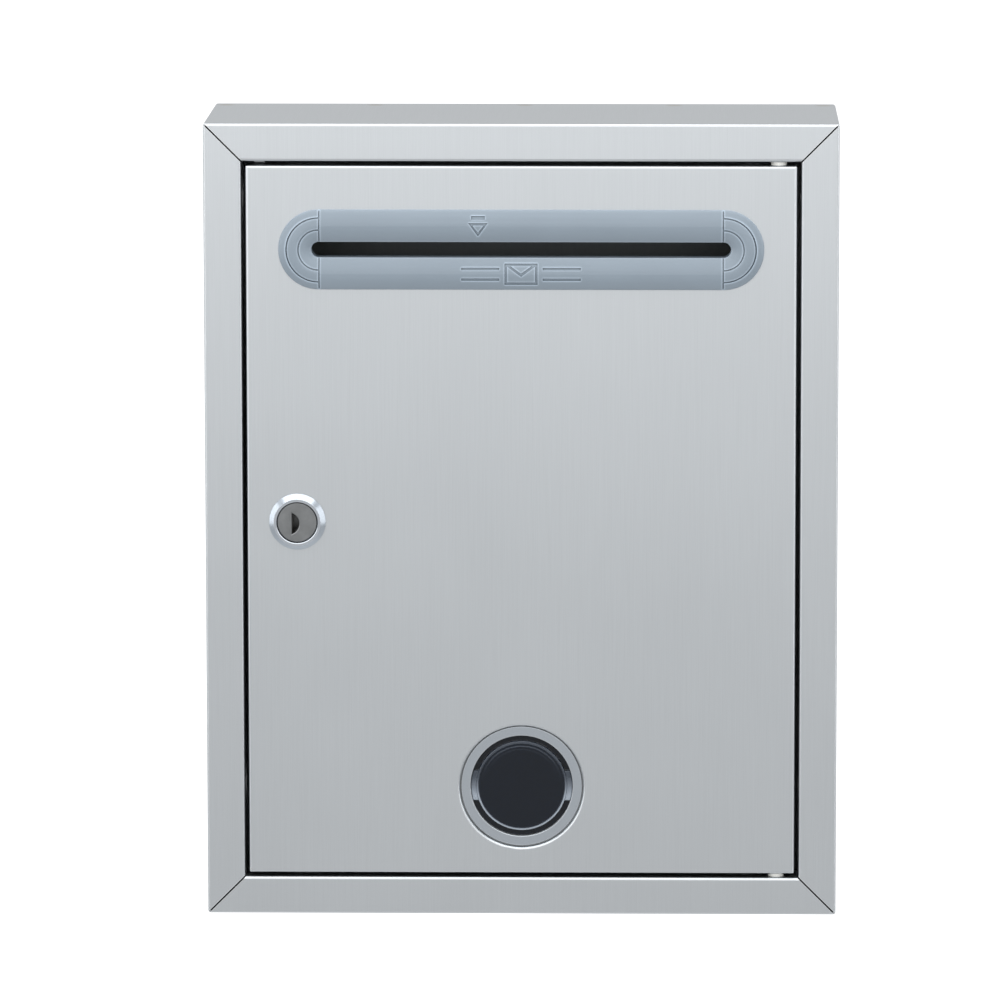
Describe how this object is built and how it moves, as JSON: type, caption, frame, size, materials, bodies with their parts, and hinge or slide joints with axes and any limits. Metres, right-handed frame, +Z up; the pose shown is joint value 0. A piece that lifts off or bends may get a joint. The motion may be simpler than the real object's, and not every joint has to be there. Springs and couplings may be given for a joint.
{
  "type": "wall mounted mailbox",
  "caption": "Wall mounted mailbox of folded stainless sheet with a mitred front flange, hinged front door, letter slot in a moulded surround, cam lock and round viewing window.",
  "frame": {"origin": "centre of the back face that lies on the wall, midway between the four wall holes", "axes": "+X to the right as seen from in front, +Y from the door into the wall, +Z up; the door faces -Y"},
  "size_m": [0.25, 0.0832, 0.316],
  "materials": {
    "stainless_sheet": "finely brushed stainless sheet",
    "zinc_plated_steel": "bright zinc plated steel",
    "nylon": "natural nylon",
    "grey_abs": "satin moulded ABS, blue grey",
    "clear_plastic": "polished clear plastic, slightly smoked",
    "chrome_rim": "bright chrome plate",
    "plug_zinc": "satin nickel plated zinc die casting",
    "brass": "stamped brass"
  },
  "bodies": {
    "casing": {"casing_wrap": "stainless_sheet", "back_panel": "stainless_sheet", "hinge_pin_top": "zinc_plated_steel", "hinge_pin_bottom": "zinc_plated_steel", "hinge_washer_top": "nylon", "hinge_washer_bottom": "nylon", "pin_clip_top": "zinc_plated_steel", "pin_clip_bottom": "zinc_plated_steel", "door_stop": "stainless_sheet"},
    "door": {"door_panel": "stainless_sheet", "slot_surround": "grey_abs", "push_nuts": "zinc_plated_steel", "window_trim": "stainless_sheet", "window_lens": "clear_plastic", "lens_ring": "stainless_sheet", "lock_housing": "chrome_rim", "lock_tooth_washer": "zinc_plated_steel", "lock_nut": "zinc_plated_steel"},
    "lock_cylinder": {"lock_plug": "plug_zinc", "lock_wafers": "brass", "stop_washer": "zinc_plated_steel", "lock_cam": "zinc_plated_steel", "cam_washer": "zinc_plated_steel", "cam_screw": "zinc_plated_steel"}
  },
  "joints": [
    {"name": "door_swing", "type": "hinge", "parent": "casing", "child": "door", "pos_m": [0.1012, -0.0755, 0], "axis": [0, 0, 1], "range_deg": [0, 100]},
    {"name": "lock_turn", "type": "hinge", "parent": "door", "child": "lock_cylinder", "pos_m": [-0.0885, -0.08, 0], "axis": [0, 1, 0], "range_deg": [0, 90]}
  ]
}
